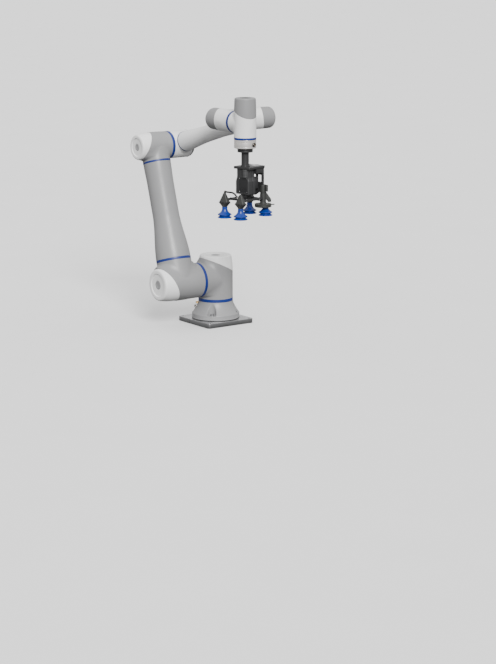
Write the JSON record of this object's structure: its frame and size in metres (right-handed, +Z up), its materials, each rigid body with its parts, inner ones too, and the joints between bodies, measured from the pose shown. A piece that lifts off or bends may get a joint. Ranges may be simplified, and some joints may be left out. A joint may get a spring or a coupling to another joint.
{
  "type": "collaborative robot arm",
  "caption": "Six-axis collaborative robot arm on a square mounting plate, with capped joint housings, blue seal rings and a four-cup vacuum gripper.",
  "frame": {"origin": "centre of the mounting plate's underside", "axes": "+Z up along the base axis; Y along the shoulder and elbow axes; the arm reaches towards +X"},
  "size_m": [0.8187, 0.425, 1.0418],
  "materials": {
    "casting_grey": "satin painted casting",
    "casting_white": "satin painted casting",
    "cap_white": "satin moulded",
    "cap_grey": "satin moulded",
    "ring_blue": "satin",
    "trim_navy": "satin",
    "gasket_black": "matte",
    "plate_alloy": "milled",
    "bolt_steel": "satin",
    "connector_gold": "plated",
    "flange_silver": "turned",
    "connector_dark": "plated",
    "tool_black": "black anodised",
    "tool_grey": "fine textured",
    "holder_plastic": "fine textured",
    "cup_blue": "satin",
    "hose_black": "satin",
    "gear_steel": "ground",
    "motor_copper": "wound copper in resin",
    "rotor_steel": "turned"
  },
  "bodies": {
    "base": {"mounting_plate": "plate_alloy", "base_gasket": "gasket_black", "base_housing": "casting_grey", "base_bolts": "bolt_steel", "base_connectors": "connector_gold"},
    "shoulder": {"j1_seal_ring": "ring_blue", "shoulder_housing": "casting_grey", "shoulder_cap": "cap_white", "j1_reducer": "gear_steel", "j1_motor": "motor_copper"},
    "upper_arm": {"j2_seal_ring": "ring_blue", "upper_arm_knuckle": "casting_grey", "upper_arm_cap": "cap_white", "j2_reducer": "gear_steel", "j2_motor": "motor_copper", "upper_arm_tube": "casting_grey", "upper_arm_trims": "ring_blue", "elbow_housing": "casting_grey", "elbow_cap": "cap_white", "j3_seal_ring": "ring_blue", "j3_reducer": "gear_steel", "j3_motor": "motor_copper"},
    "forearm": {"forearm_knuckle": "casting_white", "forearm_rear_cap": "cap_grey", "forearm_trim": "trim_navy", "forearm_shell": "casting_white", "forearm_cap": "cap_grey", "j4_seal_ring": "ring_blue", "j4_reducer": "gear_steel", "j4_motor": "motor_copper"},
    "wrist_1": {"wrist_1_housing": "casting_white", "wrist_1_cap": "cap_grey", "j5_seal_ring": "ring_blue", "j5_reducer": "gear_steel", "j5_motor": "motor_copper"},
    "wrist_2": {"wrist_2_housing": "casting_white", "wrist_2_cap": "cap_grey", "j6_seal_ring": "ring_blue", "j6_reducer": "gear_steel", "j6_motor": "motor_copper"},
    "tool": {"tool_flange": "flange_silver", "tool_connector": "connector_dark", "gripper_adapter": "tool_black", "adapter_screws": "bolt_steel", "gripper_deck": "tool_black", "deck_bezel": "tool_grey", "pump_body": "tool_grey", "pump_motor": "tool_grey", "gripper_frame": "tool_black", "valve_block": "tool_grey", "cup_arms": "tool_black", "cup_holders": "holder_plastic", "suction_cups": "cup_blue", "vacuum_hoses": "hose_black"},
    "rotor_1": {"j1_rotor": "rotor_steel"},
    "rotor_2": {"j2_rotor": "rotor_steel"},
    "rotor_3": {"j3_rotor": "rotor_steel"},
    "rotor_4": {"j4_rotor": "rotor_steel"},
    "rotor_5": {"j5_rotor": "rotor_steel"},
    "rotor_6": {"j6_rotor": "rotor_steel"}
  },
  "joints": [
    {"name": "base_turn", "type": "hinge", "parent": "base", "child": "shoulder", "pos_m": [0, 0, 0.02], "axis": [0, 0, 1], "range_deg": [-360, 360]},
    {"name": "shoulder_tilt", "type": "hinge", "parent": "shoulder", "child": "upper_arm", "pos_m": [0, -0.0985, 0.1965], "axis": [0, 1, 0], "range_deg": [-360, 360]},
    {"name": "elbow_bend", "type": "hinge", "parent": "upper_arm", "child": "forearm", "pos_m": [-0.17747, -0.1345, 0.77698], "axis": [0, 1, 0], "range_deg": [-220, 30]},
    {"name": "wrist_tilt", "type": "hinge", "parent": "forearm", "child": "wrist_1", "pos_m": [0.36742, -0.132, 0.93735], "axis": [0, 1, 0], "range_deg": [-180, 60]},
    {"name": "wrist_roll", "type": "hinge", "parent": "wrist_1", "child": "wrist_2", "pos_m": [0.42642, -0.191, 0.93735], "axis": [1, 0, 0], "range_deg": [-360, 360]},
    {"name": "flange_turn", "type": "hinge", "parent": "wrist_2", "child": "tool", "pos_m": [0.49242, -0.191, 0.87335], "axis": [0, 0, 1], "range_deg": [-360, 360]},
    {"name": "rotor_1_spin", "type": "hinge", "parent": "shoulder", "child": "rotor_1", "pos_m": [0, 0, 0.02], "axis": [0, 0, 1], "range_deg": [-36000, 36000]},
    {"name": "rotor_2_spin", "type": "hinge", "parent": "upper_arm", "child": "rotor_2", "pos_m": [0, -0.0985, 0.1965], "axis": [0, 1, 0], "range_deg": [-36000, 36000]},
    {"name": "rotor_3_spin", "type": "hinge", "parent": "upper_arm", "child": "rotor_3", "pos_m": [-0.17747, -0.1345, 0.77698], "axis": [0, 1, 0], "range_deg": [-22000, 3000]},
    {"name": "rotor_4_spin", "type": "hinge", "parent": "forearm", "child": "rotor_4", "pos_m": [0.36742, -0.132, 0.93735], "axis": [0, 1, 0], "range_deg": [-18000, 6000]},
    {"name": "rotor_5_spin", "type": "hinge", "parent": "wrist_1", "child": "rotor_5", "pos_m": [0.42642, -0.191, 0.93735], "axis": [1, 0, 0], "range_deg": [-36000, 36000]},
    {"name": "rotor_6_spin", "type": "hinge", "parent": "wrist_2", "child": "rotor_6", "pos_m": [0.49242, -0.191, 0.87335], "axis": [0, 0, 1], "range_deg": [-36000, 36000]}
  ],
  "couplings": [
    {"joint": "rotor_1_spin", "follows": "base_turn", "ratio": -100},
    {"joint": "rotor_2_spin", "follows": "shoulder_tilt", "ratio": -100},
    {"joint": "rotor_3_spin", "follows": "elbow_bend", "ratio": 100},
    {"joint": "rotor_4_spin", "follows": "wrist_tilt", "ratio": 100},
    {"joint": "rotor_5_spin", "follows": "wrist_roll", "ratio": 100},
    {"joint": "rotor_6_spin", "follows": "flange_turn", "ratio": 100}
  ]
}
